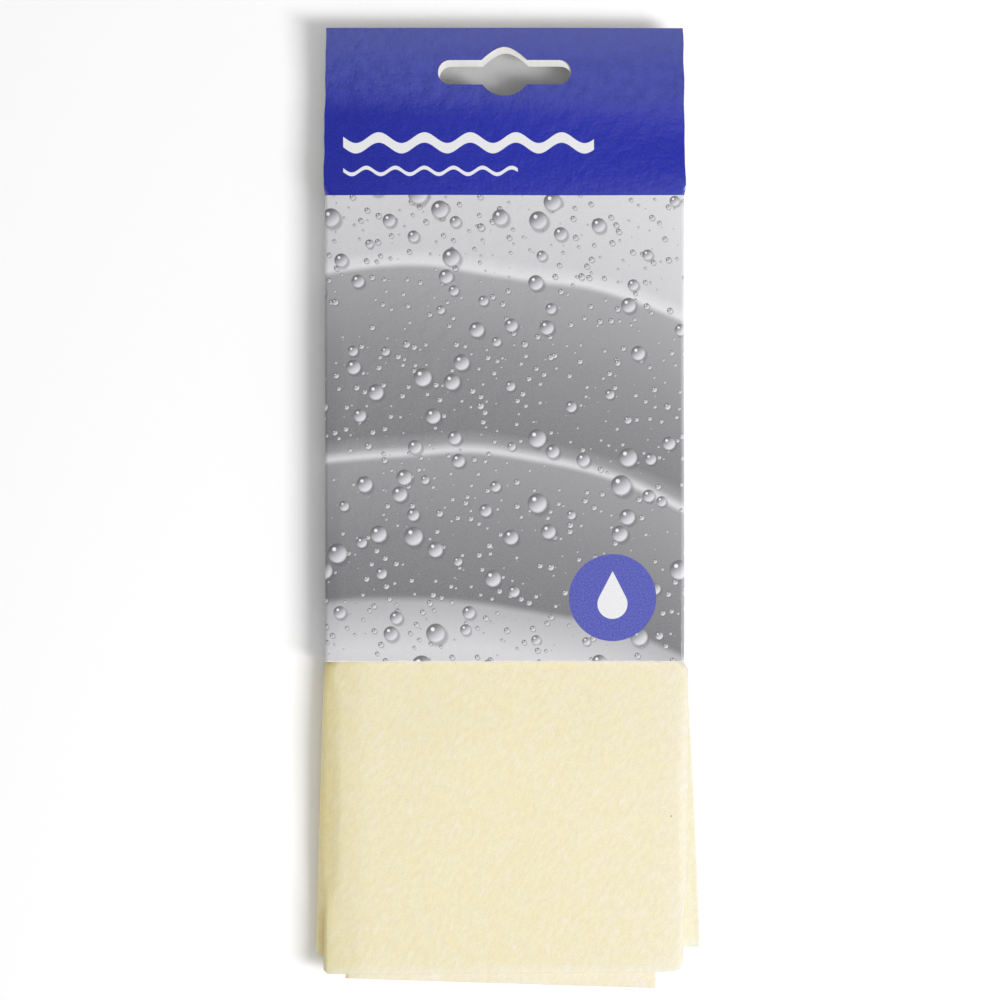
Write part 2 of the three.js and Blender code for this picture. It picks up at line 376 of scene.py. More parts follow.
def wave_mark(tree, across, along, wave):
    """1 on a printed wave, and 0 off it."""
    angle = calc(tree, "MULTIPLY", across, 2 * math.pi / wave["period"])
    line = calc(tree, "MULTIPLY_ADD", calc(tree, "SINE", angle), wave["swing"], wave["height"])
    away = calc(tree, "ABSOLUTE", calc(tree, "SUBTRACT", along, line))
    begun = fade(tree, across, WAVE_LEFT - PRINT_EDGE, WAVE_LEFT + PRINT_EDGE)
    length = calc(tree, "MULTIPLY", begun, inked(tree, across, wave["end"]))
    return calc(tree, "MULTIPLY", inked(tree, away, wave["stroke"] / 2), length)


tree, shader = start_material("header_ink")
place, across, along = blank_place(tree)
blue = mix(tree, mottle(tree, place, scale=0.5, detail=4), *BLUES)
# painted shade: the blue turns darker towards the left side of the header
left_shade = fade(tree, across, -HALF_CARD / MM, LEFT_SHADE_END, LEFT_SHADE_SHARE, 0)
blue = mix(tree, left_shade, blue, LEFT_SHADE_BLUE)
# painted shade: a duller, darker blue on the tab; the same mask also strengthens the paper grain there
tab_shade = fade(tree, along, *TAB_SHADE_FADE)
patches = fade(tree, mottle(tree, place, scale=0.35, detail=4), *MIDDLE_SPAN)
blue = mix(tree, tab_shade, blue, mix(tree, patches, *TAB_SHADE_BLUES))
# painted sheen: the blue turns paler towards the top edge of the tab
blue = mix(tree, fade(tree, along, *TAB_TOP_SHEEN_FADE, 0, TAB_TOP_SHEEN_SHARE), blue, TAB_TOP_SHEEN_BLUE)
blue = grain(tree, place, blue, BLUE_PAPER, fade(tree, tab_shade, 0, 1, *BLUE_GRAIN))
side = calc(tree, "SUBTRACT", HALF_CARD / MM, calc(tree, "ABSOLUTE", across))
rise = calc(tree, "ABSOLUTE", calc(tree, "SUBTRACT", along, HEADER_FOOT / MM))
from_corner = calc(tree, "ADD", calc(tree, "MULTIPLY", side, RUBBED_NARROW), rise)
ragged = mottle(tree, place, scale=0.9, detail=3)
rubbed = calc(tree, "MULTIPLY_ADD", ragged, RUBBED_RAGGED, from_corner)
blue = mix(tree, fade(tree, rubbed, *RUBBED_FADE, RUBBED_SHARE, 0), blue, RUBBED_BLUE)
for wave in WAVES:
    blue = mix(tree, wave_mark(tree, across, along, wave), blue, WHITE_INK)
connect(tree, shader, {"Base Color": blue})
coat(tree, shader, place)
print("header ink:", len(tree.nodes), "nodes")

# %% [markdown]
# ## Printing the picture: a car panel
# The front carries a grey picture. This one is a made-up view of water beading on a waxed car panel. First
# come soft bands of reflected sky and a crisp body line: a ramp of greys along the card. The coordinate
# that the ramp reads is bent across the card, so the bands curve as they do on a rounded panel.

# %% Grey bands of the panel
BODY_TONES = (
    (0.00, 200), (0.12, 216), (0.20, 178), (0.212, 112), (0.32, 128), (0.455, 152), (0.463, 226),
    (0.478, 150), (0.50, 118), (0.64, 138), (0.775, 166), (0.784, 230), (0.81, 209), (1.00, 222),
)
BODY_COOLNESS = 3
BODY_LOW = -50.0
BODY_HIGH = 88.0
BODY_BEND = 0.0034
BODY_MIDDLE = -20.0
BODY_DRIFT = 1.0


def body_bands(tree, place, across, along):
    """Reflections along a curved panel: a grey ramp on a coordinate that bends across the card."""
    offset = calc(tree, "SUBTRACT", across, BODY_MIDDLE)
    bend = calc(tree, "MULTIPLY", calc(tree, "MULTIPLY", offset, offset), BODY_BEND)
    drift = fade(tree, mottle(tree, place, scale=0.03, detail=0), *WIDE_SPAN, -BODY_DRIFT, BODY_DRIFT)
    level = calc(tree, "ADD", calc(tree, "ADD", along, bend), drift)
    inputs = {"Value": level, "From Min": BODY_LOW, "From Max": BODY_HIGH}
    share = node(tree, "ShaderNodeMapRange", inputs).outputs["Result"]
    ramp = node(tree, "ShaderNodeValToRGB", {"Fac": share})
    points = ramp.color_ramp.elements
    while len(points) < len(BODY_TONES):
        points.new(0.5)
    for point, (position, grey) in zip(points, BODY_TONES):
        point.position = position
        point.color = ink(grey, grey, grey + BODY_COOLNESS)
    return ramp.outputs[0]


tree, shader = start_material("picture_ink")
place, across, along = blank_place(tree)
picture = body_bands(tree, place, across, along)
print("panel bands:", len(BODY_TONES), "tones")

# %% [markdown]
# ## Printing the picture: water beads
# A bead is one cell of a Voronoi texture. The cell's own position gives the bead a middle, the cell's
# inscribed circle keeps it whole, and the offset from the middle shades it dark on one side and bright on
# the other, as a lens of water does. Modelled drops would stand up from what is only a flat print.

# %% Water beads
BEAD_TURN = math.radians(27)
BEAD_EDGE = (0.88, 1.0)
CELL_FILL = 0.95
LEAN_ACROSS = 0.55
LEAN_DOWN = 0.8
LENS_SPAN = (-0.8, 0.8)
LENS_TONES = ink(96, 96, 100), ink(228, 228, 232)
RIM_TONE = ink(88, 88, 92)
RIM_SHARE = 0.55
RIM_FADE = (0.72, 0.98)
GLINT_TONE = ink(246, 246, 248)
GLINT_PLACE = (-0.3, 0.38, 0)
GLINT_EDGE = (0.14, 0.24)
SHADE_TONE = ink(84, 84, 88)
SHADE_SHARE = 0.45
SHADE_PLACE = (0.22, -0.3, 0)
SHADE_EDGE = (0.8, 1.15)


def beads(tree, place, picture, spacing, smallest, largest, bare):
    """Drops of water over the picture, one in each cell whose random value is over the bare share."""
    inputs = {"Vector": place, "Rotation": (0, 0, BEAD_TURN)}
    turned = node(tree, "ShaderNodeMapping", inputs).outputs[0]
    inputs = {"Vector": turned, "Scale": 1 / spacing, "Randomness": 1.0}
    cells = node(tree, "ShaderNodeTexVoronoi", inputs, voronoi_dimensions="2D")
    circle = node(tree, "ShaderNodeTexVoronoi", inputs, voronoi_dimensions="2D", feature="N_SPHERE_RADIUS")
    chance = node(tree, "ShaderNodeSeparateColor", {0: cells.outputs["Color"]})
    wanted = fade(tree, chance.outputs[0], 0, 1, smallest, largest)
    fitting = calc(tree, "MULTIPLY", circle.outputs["Radius"], CELL_FILL * spacing)
    radius = calc(tree, "MINIMUM", wanted, fitting)
    there = calc(tree, "GREATER_THAN", chance.outputs[1], bare)
    inputs = {0: turned, 1: cells.outputs["Position"]}
    offset = node(tree, "ShaderNodeVectorMath", inputs, operation="SUBTRACT").outputs[0]
    inputs = {"Vector": offset, "Rotation": (0, 0, -BEAD_TURN)}
    upright = node(tree, "ShaderNodeMapping", inputs).outputs[0]
    inputs = {"Vector": upright, "Scale": calc(tree, "DIVIDE", 1, radius)}
    scaled = node(tree, "ShaderNodeVectorMath", inputs, operation="SCALE").outputs[0]
    parts = node(tree, "ShaderNodeSeparateXYZ", {0: scaled})
    flat = node(tree, "ShaderNodeCombineXYZ", {0: parts.outputs[0], 1: parts.outputs[1]}).outputs[0]

    def away(point):
        made = node(tree, "ShaderNodeVectorMath", {0: flat, 1: point}, operation="DISTANCE")
        return made.outputs["Value"]

    reach = away((0, 0, 0))
    drop = calc(tree, "MULTIPLY", fade(tree, reach, *BEAD_EDGE, 1, 0), there)
    fall = calc(tree, "MULTIPLY", parts.outputs[1], LEAN_DOWN)
    lean = calc(tree, "SUBTRACT", calc(tree, "MULTIPLY", parts.outputs[0], LEAN_ACROSS), fall)
    lens = mix(tree, fade(tree, lean, *LENS_SPAN), *LENS_TONES)
    lens = mix(tree, fade(tree, reach, *RIM_FADE, 0, RIM_SHARE), lens, RIM_TONE)
    lens = mix(tree, fade(tree, away(GLINT_PLACE), *GLINT_EDGE, 1, 0), lens, GLINT_TONE)
    shade = calc(tree, "MULTIPLY", fade(tree, away(SHADE_PLACE), *SHADE_EDGE, SHADE_SHARE, 0), there)
    picture = mix(tree, shade, picture, SHADE_TONE)
    return mix(tree, drop, picture, lens)


picture = beads(tree, place, picture, spacing=2.8, smallest=0.15, largest=0.75, bare=0.4)
picture = beads(tree, place, picture, spacing=7.5, smallest=0.7, largest=2.6, bare=0.25)
print("picture with beads:", len(tree.nodes), "nodes")

# %% [markdown]
# ## Printing the picture: mark and wear
# A plain blue roundel with a white drop stands for the mark in the corner. The drop is a round belly with a
# cone for its tip. Handling has rubbed the ink thin along the mouth, so the paper shows there. The pale
# line along the right-hand fold, which faces the light, is wear and painted highlight together. The wear is
# part of the ink, because it has no depth that could be modelled.

# %% Roundel, wear and coating
ROUNDEL_BLUE = ink(52, 62, 178)
ROUNDEL_PLACE = (26.0, -21.5)
ROUNDEL_RADIUS = 10.48
DROP_MIDDLE = (0, -1.5, 0)
DROP_RADIUS = 3.6
DROP_TIP = 6.4
DROP_SLOPE = 0.512
DROP_TIP_START = (0.1, 0.2)
GREY_PAPER = ink(176, 175, 180)
GREY_GRAIN = 0.18
MOUTH_WEAR = (0.3, 0.6)
MOUTH_WEAR_SHARE = 0.85
MOUTH_RAGGED = 0.5
CREASE = 0.9 * MM
FOLD_START = (HALF_CARD - CREASE) / MM
FOLD_END = FOLD_START + math.pi / 2 * CREASE / MM
FOLD_WEAR_AND_HIGHLIGHT = ink(226, 226, 228)
FOLD_PALE_SHARE = 0.3
FOLD_PALE_RISE = 0.5
FOLD_PALE_FALL = 0.6


def roundel(tree, across, along, picture):
    """A plain blue disc with a white drop in it."""
    side = calc(tree, "SUBTRACT", across, ROUNDEL_PLACE[0])
    up = calc(tree, "SUBTRACT", along, ROUNDEL_PLACE[1])
    spot = node(tree, "ShaderNodeCombineXYZ", {0: side, 1: up}).outputs[0]
    disc = node(tree, "ShaderNodeVectorMath", {0: spot}, operation="LENGTH").outputs["Value"]
    belly = node(tree, "ShaderNodeVectorMath", {0: spot, 1: DROP_MIDDLE}, operation="DISTANCE")
    bowl = inked(tree, belly.outputs["Value"], DROP_RADIUS)
    below_tip = calc(tree, "SUBTRACT", DROP_TIP, up)
    cone = calc(tree, "MULTIPLY_ADD", below_tip, -DROP_SLOPE, calc(tree, "ABSOLUTE", side))
    tip = calc(tree, "MULTIPLY", inked(tree, cone, 0), fade(tree, up, *DROP_TIP_START))
    picture = mix(tree, inked(tree, disc, ROUNDEL_RADIUS), picture, ROUNDEL_BLUE)
    return mix(tree, calc(tree, "MAXIMUM", bowl, tip), picture, WHITE_INK)


picture = roundel(tree, across, along, picture)
picture = grain(tree, place, picture, GREY_PAPER, GREY_GRAIN)
from_mouth = calc(tree, "SUBTRACT", along, MOUTH / MM)
from_mouth = calc(tree, "MULTIPLY_ADD", mottle(tree, place, scale=0.5, detail=2), MOUTH_RAGGED, from_mouth)
picture = mix(tree, fade(tree, from_mouth, *MOUTH_WEAR, MOUTH_WEAR_SHARE, 0), picture, WHITE_INK)
# wear and painted highlight: a pale line along the right-hand fold only, the side that faces the light
onto_fold = fade(tree, across, FOLD_START, FOLD_START + FOLD_PALE_RISE, 0, FOLD_PALE_SHARE)
off_fold = fade(tree, across, FOLD_END, FOLD_END + FOLD_PALE_FALL, 1, 0)
picture = mix(tree, calc(tree, "MULTIPLY", onto_fold, off_fold), picture, FOLD_WEAR_AND_HIGHLIGHT)
connect(tree, shader, {"Base Color": picture})
coat(tree, shader, place)
print("picture ink:", len(tree.nodes), "nodes")

# %% [markdown]
# ## Plain board and glue
# The back of the sleeve, its inside and its cut edges are bare white board: matt, a little grey, with the
# faint clouds and fibres of pressed pulp. The glue is a thin milky film.

# %% Board, cut edge and glue
CLOUD_SCALE = 160
FIBRE_SCALE = 900
FIBRE_STRETCH = (1, 0.25, 1)
ROUGHNESS_SPREAD = 0.05


def board(name, light, dark, roughness):
    """Pulp between a light and a dark tone, with clouds and lengthwise fibres."""
    tree, shader = start_material(name)
    place = node(tree, "ShaderNodeTexCoord").outputs["Object"]
    cloud = mottle(tree, place, CLOUD_SCALE, detail=3)
    fibre = mottle(tree, place, FIBRE_SCALE, detail=4, stretch=FIBRE_STRETCH)
    share = calc(tree, "MULTIPLY_ADD", fibre, 0.5, calc(tree, "MULTIPLY", cloud, 0.5))
    rough_span = (roughness - ROUGHNESS_SPREAD, roughness + ROUGHNESS_SPREAD)
    connect(tree, shader, {
        "Base Color": mix(tree, fade(tree, share, *MIDDLE_SPAN), dark, light),
        "Roughness": fade(tree, cloud, *WIDE_SPAN, *rough_span),
        "Normal": bump(tree, fibre, strength=0.3, distance=0.03 * MM),
    })


board("back_board", light=ink(232, 232, 231), dark=ink(219, 219, 219), roughness=0.6)
board("inside_board", light=ink(234, 233, 230), dark=ink(220, 219, 215), roughness=0.85)
board("cut_edge", light=ink(240, 239, 235), dark=ink(214, 212, 206), roughness=0.9)
board("glue_film", light=ink(220, 216, 200), dark=ink(204, 198, 178), roughness=0.35)
print("boards:", [name for name in MATERIAL_OF if name.endswith(("board", "edge", "film"))])

# %% [markdown]
# ## The die-cut blank
# The real sleeve starts as one flat piece of board, stamped out with a die: glue flap, left spine, front
# with its header, right spine, back with its header, and a hang slot in each header. It is drawn the same
# way here, as an outline and two slots that are filled together. The flat drawing has its middle on the
# front panel, and its height is already the height on the pack. No die is exact, so on the folded tab the
# back slot lies a little to the right of the front one.

# %% Draw the outline and the slots
HEADER_FLARE = 0.35 * MM
HEADER_TAPER = 0.65 * MM
FLAP_END_CUT = 3.0 * MM
SLOT_WIDTH = 32.0 * MM
SLOT_WING = 2.9 * MM
CROWN_RISE = 3.1 * MM
CROWN_BASE = 5.5 * MM
CROWN_TOP = 2.2 * MM
BELLY_DROP = 2.7 * MM
BELLY_HALF = 5.3 * MM
BACK_SLOT_SHIFT = 0.35 * MM
ARC_STEPS = 12
SLOT_LINE = next(m["pos_m"][1] for m in frame["record"]["mounts"] if m["name"] == "hang_slot")

turn = math.pi / 2 * CREASE
run_front = HALF_CARD - CREASE
run_right = PACK_DEPTH - 2 * CREASE
run_left = PACK_DEPTH - FLAP_FACE - 2 * CREASE
run_flap = flap_high.x + run_front
back_middle = 2 * (run_front + turn) + run_right
flap_crease = -(run_front + 1.5 * turn + run_left)
flap_edge = -(run_front + 2 * turn + run_left + run_flap)
header_half = HALF_CARD + HEADER_FLARE
top_half = header_half - HEADER_TAPER


def arc(middle, radius, start, end):
    angles = [lerp(start, end, step / ARC_STEPS) for step in range(ARC_STEPS + 1)]
    return [(middle[0] + radius * math.cos(a), middle[1] + radius * math.sin(a)) for a in angles]


def slot_outline(middle, line):
    """Half of the slot from the belly round the right wing to the crown, and its mirror image."""
    radius = (BELLY_HALF**2 + BELLY_DROP**2) / (2 * BELLY_DROP)
    lean = math.asin(BELLY_HALF / radius)
    down = -math.pi / 2
    half = arc((0, -SLOT_WING - BELLY_DROP + radius), radius, down, down + lean)
    half += arc((SLOT_WIDTH / 2 - SLOT_WING, 0), SLOT_WING, down, -down)
    for step in range(ARC_STEPS):
        share = step / ARC_STEPS
        across = (1 - share) ** 2 * CROWN_BASE + 2 * (1 - share) * share * CROWN_TOP
        half.append((across, SLOT_WING + CROWN_RISE * (1 - (1 - share) ** 2)))
    mirrored = [(-x, y) for x, y in reversed(half[1:])]
    return [(middle + x, line + y) for x, y in [*half, (0, SLOT_WING + CROWN_RISE), *mirrored]]


outline = [
    (flap_edge, MOUTH + FLAP_END_CUT),
    (flap_crease, MOUTH),
    (back_middle + HALF_CARD, MOUTH),
    (back_middle + top_half, CARD_TOP),
    (back_middle - top_half, CARD_TOP),
    (back_middle - header_half, HEADER_FOOT),
    (header_half, HEADER_FOOT),
    (top_half, CARD_TOP),
    (-top_half, CARD_TOP),
    (-header_half, HEADER_FOOT),
    (flap_crease, HEADER_FOOT),
    (flap_edge, HEADER_FOOT - FLAP_END_CUT),
]
slots = [slot_outline(middle, SLOT_LINE) for middle in (0, back_middle - BACK_SLOT_SHIFT)]
blank = bmesh.new()
for loop in (outline, *slots):
    corners = [blank.verts.new((across, along, 0)) for across, along in loop]
    for start, end in zip(corners, corners[1:] + corners[:1]):
        blank.edges.new((start, end))
bmesh.ops.triangle_fill(blank, edges=blank.edges[:], use_beauty=True, normal=(0, 0, 1))
print(f"blank {(back_middle + HALF_CARD - flap_edge) / MM:.0f} mm wide, {len(blank.faces)} faces")

# %% [markdown]
# ## Scoring the blank
# A flat face can't bend, so the blank is scored first: bisecting planes cut it into strips where it will
# turn and into a coarse grid elsewhere, so that the panels can wave a little. The flat place of each point
# is then stored for the inks, and each face gets its ink by where it lies.

# %% Score it and choose the inks
CREASE_STEPS = 6
PANEL_STEP = 4.0 * MM
SHOULDER_STEP = 1.2 * MM
SCORE_TOLERANCE = 1e-7
HEADER_INK, PICTURE_INK, BACK_BOARD = range(3)


def score(form, place, direction):
    everything = form.verts[:] + form.edges[:] + form.faces[:]
    bmesh.ops.bisect_plane(form, geom=everything, dist=SCORE_TOLERANCE, plane_co=place, plane_no=direction)


def steps_between(low, high, step):
    count = max(1, round((high - low) / step))
    return [lerp(low, high, index / count) for index in range(count + 1)]


creases = [
    -(run_front + 2 * turn + run_left),
    -(run_front + turn),
    run_front,
    run_front + turn + run_right,
]
lines = [begin + turn * step / CREASE_STEPS for begin in creases for step in range(CREASE_STEPS + 1)]
lines += steps_between(-run_front, run_front, PANEL_STEP)
lines += steps_between(back_middle - run_front, back_middle + run_front, PANEL_STEP)
lines += steps_between(-(run_front + turn + run_left), -(run_front + turn), PANEL_STEP / 2)
lines += steps_between(run_front + turn, run_front + turn + run_right, PANEL_STEP / 2)
for across in sorted(set(lines)):
    score(blank, (across, 0, 0), (1, 0, 0))
levels = steps_between(MOUTH, HEADER_FOOT, PANEL_STEP)
levels += steps_between(HEADER_FOOT, TAB_FOOT, SHOULDER_STEP)
levels += steps_between(TAB_FOOT, CARD_TOP, PANEL_STEP / 2)
for along in sorted(set(levels))[1:-1]:
    score(blank, (0, along, 0), (0, 1, 0))

flat_place = blank.verts.layers.float_vector.new("blank")
for corner in blank.verts:
    corner[flat_place] = corner.co / MM
for face in blank.faces:
    middle = face.calc_center_median()
    if middle.x > run_front + 1.5 * turn + run_right:
        face.material_index = BACK_BOARD
    else:
        face.material_index = HEADER_INK if middle.y > HEADER_FOOT else PICTURE_INK
    face.smooth = True
    if face.normal.z < 0:
        face.normal_flip()
print(f"scored into {len(blank.faces)} faces")

# %% [markdown]
# ## Folding the card
# Folding is a change of place for every point of the flat sheet. Across the pack a point runs along the
# front, round a crease, down a spine, round the next crease and under the back. Above the spines the two
# headers come free of the tube. The front one slopes down, sharply creased at its foot on the left and
# softly on the right, and the back one climbs to it, so its slot and its edge end a little lower. Together
# they are the hang tab, which curls and twists a little, and its side edges are a little worn. A slow noise
# then takes the stiffness out of the sheet. It is seeded, because its offset would otherwise follow the
# clock and the card would differ from run to run.

# %% Fold it
CREASE_FADE = 2.4 * MM
TAB_CURL = 1.1 * MM
TAB_CURL_POWER = 1.5
TAB_TWIST = 0.5 * MM
SLOPE_FOOT = (-6.0 * MM, 0.0 * MM)
SLOPE_HEAD = (8.0 * MM, -1.0 * MM)
CARD_WAVE = 0.14 * MM
CARD_WAVE_LENGTH = 38 * MM
CARD_WAVE_SEED = 3
EDGE_WEAR = 0.25 * MM
EDGE_WEAR_LENGTH = 5 * MM
EDGE_WEAR_REACH = 3 * MM


def wrap(across):
    """Across the blank, from the front's middle, to (x, z) on the closed tube."""
    side = 1 if across > 0 else -1
    base = 0 if side > 0 else FLAP_FACE
    run_side = PACK_DEPTH - base - 2 * CREASE
    run = abs(across)
    if run <= run_front:
        return across, PACK_DEPTH
    run -= run_front
    if run <= turn:
        angle = run / CREASE
        return side * (run_front + CREASE * math.sin(angle)), PACK_DEPTH - CREASE * (1 - math.cos(angle))
    run -= turn
    if run <= run_side:
        return side * HALF_CARD, PACK_DEPTH - CREASE - run
    run -= run_side
    if run <= turn:
        angle = run / CREASE
        return side * (run_front + CREASE * math.cos(angle)), base + CREASE * (1 - math.sin(angle))
    return side * (run_front - run + turn), base


def slope_above_tab(x, y):
    """How far the front header still is above the tab's level. The slope is longer on the left."""
    side = (x / HALF_CARD + 1) / 2
    foot = HEADER_FOOT + lerp(*SLOPE_FOOT, side)
    head = TAB_FOOT + lerp(*SLOPE_HEAD, side)
    begun = ease(HEADER_FOOT, foot, head)
    return (PACK_DEPTH - TAB_FRONT) * (1 - ease(y, foot, head)) / (1 - begun)


def tab_lift(x, y):
    """How far the tab's layers rise together: a curl towards the edge, and a twist that lifts the left."""
    curl = max(0, (y - TAB_FOOT) / (CARD_TOP - TAB_FOOT)) ** TAB_CURL_POWER
    twist = ease(y, TAB_FOOT, CARD_TOP) * x / HALF_CARD
    return TAB_CURL * curl - TAB_TWIST * twist


def waved(point):
    """A slow wave in the board, which dies out towards the table."""
    wave = noise.noise_vector(point / CARD_WAVE_LENGTH) * CARD_WAVE
    wave.z *= point.z / PACK_DEPTH
    return point + wave


def fold_card(across, along):
    """Where a point of the flat blank goes on the folded pack."""
    x, z = wrap(across)
    y = along
    if along > HEADER_FOOT:
        on_front = across < back_middle / 2
        if on_front:
            level, flat_x = PACK_DEPTH, across
            height = TAB_FRONT + slope_above_tab(flat_x, along)
        else:
            level, flat_x = 0, back_middle - across
            climb = ease(along, HEADER_FOOT, TAB_FOOT)
            y -= BACK_SHORT * climb
            height = climb * (TAB_BACK + slope_above_tab(flat_x, y))
        folded = 1 - ease(along, HEADER_FOOT, HEADER_FOOT + CREASE_FADE)
        near_edge = (1 - folded) * ease(abs(flat_x), HALF_CARD - EDGE_WEAR_REACH, HALF_CARD)
        wear = noise.noise(Vector((across, along, 0)) / EDGE_WEAR_LENGTH) * EDGE_WEAR
        x = lerp(flat_x, x, folded) + near_edge * wear
        z = height + tab_lift(x, y) + (z - level) * folded
    return waved(Vector((x, y, z)))


noise.seed_set(CARD_WAVE_SEED)
for corner in blank.verts:
    corner.co = fold_card(corner.co.x, corner.co.y)
blank.normal_update()
print("folded; front faces up:", sum(face.normal.z > 0.9 for face in blank.faces))

# %% [markdown]
# ## Giving the board its thickness
# The folded sheet is the printed outer face. A Solidify modifier adds the board behind it, and its material
# offsets paint the inside and the cut edge as bare board. The modifier is then applied, because the sharp
# cut edges have to be marked on the finished mesh.

# %% Thicken the board
SHARP_EDGE = math.radians(40)


def add_piece(name, form, materials):
    mesh = bpy.data.meshes.new(name)
    form.to_mesh(mesh)
    form.free()
    for material in materials:
        mesh.materials.append(MATERIAL_OF[material])
    piece = bpy.data.objects.new(name, mesh)
    bpy.context.scene.collection.objects.link(piece)
    return piece


def thicken(piece, thickness, offset):
    """Solidify: an offset of -1 grows the sheet inwards only, and 0 grows it both ways."""
    made = piece.modifiers.new("thickness", "SOLIDIFY")
    made.thickness = thickness
    made.offset = offset
    made.use_even_offset = True
    made.use_quality_normals = True
    return made


def apply_and_sharpen(piece):
    shown = piece.evaluated_get(bpy.context.evaluated_depsgraph_get())
    finished = bpy.data.meshes.new_from_object(shown)
    piece.modifiers.clear()
    piece.data = finished
    form = bmesh.new()
    form.from_mesh(finished)
    for edge in form.edges:
        edge.smooth = edge.calc_face_angle(0) < SHARP_EDGE
    form.to_mesh(finished)
    form.free()


outer_inks = ["header_ink", "picture_ink", "back_board"]
card = add_piece("card_sleeve", blank, [*outer_inks, *["inside_board"] * len(outer_inks), "cut_edge"])
thickness = thicken(card, BOARD, -1)
thickness.material_offset = len(outer_inks)
thickness.material_offset_rim = 2 * len(outer_inks)
apply_and_sharpen(card)
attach(card, "sleeve")
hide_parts("front_panel", "back_panel", "left_spine", "right_spine", "front_shoulder", "back_shoulder")
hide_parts("front_tab", "back_tab", "glue_flap")
print(f"card sleeve: {len(card.data.polygons)} faces")

# %% [markdown]
# ## Glue in the tab
# Two dabs of glue hold the tab's layers together, one on each side of the slot. Each is a small grid that
# follows the tab's curl, a tenth of a millimetre thick. The line of glue under the side flap lies flat and
# stays as the model has it, with the same finish.

# %% Glue patches
GLUE_STEPS = 12
for name in ("left_tab_glue", "right_tab_glue"):
    low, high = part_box(name)
    middle = (low + high) / 2
    form = bmesh.new()
    bmesh.ops.create_grid(form, x_segments=GLUE_STEPS, y_segments=GLUE_STEPS, size=0.5)
    bmesh.ops.scale(form, vec=(high.x - low.x, high.y - low.y, 1), verts=form.verts)
    bmesh.ops.translate(form, vec=middle, verts=form.verts)
    for corner in form.verts:
        x, y = corner.co.xy
        corner.co = waved(corner.co + Vector((0, 0, tab_lift(x, y) + slope_above_tab(x, y))))
    patch = add_piece(name.replace("glue", "glue_patch"), form, ["glue_film"])
    thicken(patch, high.z - low.z, 0)
    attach(patch, "sleeve")
    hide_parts(name)
    print(patch.name, "made")
frame["nodes"]["flap_glue"].data.materials.clear()
frame["nodes"]["flap_glue"].data.materials.append(MATERIAL_OF["glue_film"])

# %% [markdown]
# ## Felt
# Synthetic chamois is a nonwoven: short yellow fibres, needled and pressed into a soft sheet. Close up it
# is cloudy, with streaks where the fibres were laid, pale lilac tangles where they bunch, and now and then
# a dark speck. The pattern reads the flat cloth's own millimetres, so it stays on the sheet where the sheet
# folds. A tint that is kept on the mesh, which paints light and shade on the felt, is multiplied in at the
# end.

# %% Chamois felt
FELT_YELLOWS = ink(243, 233, 191), ink(243, 234, 205)
STRAND_YELLOW = ink(235, 224, 185)
STRAND_LEAN = math.radians(-30)
STRAND_SHARE = 0.7
FLUFF_YELLOW = ink(252, 245, 214)
FLUFF_SPAN = (0.35, 0.75)
FLUFF_SHARE = 0.4
BUNCH_LILAC = ink(246, 239, 224)
BUNCH_SPAN = (0.57, 0.72)
BUNCH_SHARE = 0.42
SPECK_BROWN = ink(176, 150, 84)
SPECK_SCALE = 0.013
SPECK_EDGE = (0.0018, 0.0048)
SPECK_SHARE = 0.7
FELT_ROUGHNESS = (0.88, 0.98)
STRAND_RELIEF = 1.2
FLUFF_RELIEF = 0.5

tree, shader = start_material("chamois_felt")
place = node(tree, "ShaderNodeAttribute", attribute_name="flat_cloth").outputs["Vector"]
tint = node(tree, "ShaderNodeAttribute", attribute_name="tint").outputs["Vector"]
slant = node(tree, "ShaderNodeMapping", {"Vector": place, "Rotation": (0, 0, STRAND_LEAN)}).outputs[0]
strand = mottle(tree, slant, scale=0.9, detail=4, stretch=(1, 0.5, 1))
fluff = mottle(tree, place, scale=2.2, detail=2)
cloud = mottle(tree, slant, scale=0.3, detail=3, stretch=(1, 0.7, 1))
tangle = mottle(tree, slant, scale=0.42, detail=3, stretch=(1, 0.7, 1))
bunch = fade(tree, tangle, *BUNCH_SPAN, 0, BUNCH_SHARE)
inputs = {"Vector": place, "Scale": SPECK_SCALE}
specks = node(tree, "ShaderNodeTexVoronoi", inputs, voronoi_dimensions="2D")
speck = fade(tree, specks.outputs["Distance"], *SPECK_EDGE, SPECK_SHARE, 0)
felt = mix(tree, fade(tree, cloud, *MIDDLE_SPAN), *FELT_YELLOWS)
felt = mix(tree, fade(tree, strand, *MIDDLE_SPAN, 0, STRAND_SHARE), felt, STRAND_YELLOW)
felt = mix(tree, fade(tree, fluff, *FLUFF_SPAN, 0, FLUFF_SHARE), felt, FLUFF_YELLOW)
felt = mix(tree, bunch, felt, BUNCH_LILAC)
felt = mix(tree, speck, felt, SPECK_BROWN)
# painted light and shade from the mesh's tint
felt = mix(tree, 1.0, felt, tint, blend="MULTIPLY")
relief = calc(tree, "MULTIPLY_ADD", strand, STRAND_RELIEF, bunch)
relief = calc(tree, "MULTIPLY_ADD", fluff, FLUFF_RELIEF, relief)
connect(tree, shader, {
    "Base Color": felt,
    "Roughness": fade(tree, fluff, *WIDE_SPAN, *FELT_ROUGHNESS),
    "Normal": bump(tree, relief, strength=0.4, distance=0.2 * MM),
    "Specular IOR Level": 0.15,
    "Sheen Weight": 0.12,
    "Sheen Roughness": 0.6,
})
print("felt:", len(tree.nodes), "nodes")

# %% [markdown]
# ## Folding plan of the cloth
# The cloth is doubled along its length, with the fold at the top, and then rolled flat from one side into
# four leaves. So its section across the pack is one path: inner leaf, left turn, second leaf, right turn,
# front leaf, left turn, back leaf. A station on that path knows its place inside the sleeve, which way is
# out, how long its tail is, and how far it springs out and fans out once it has left the mouth.

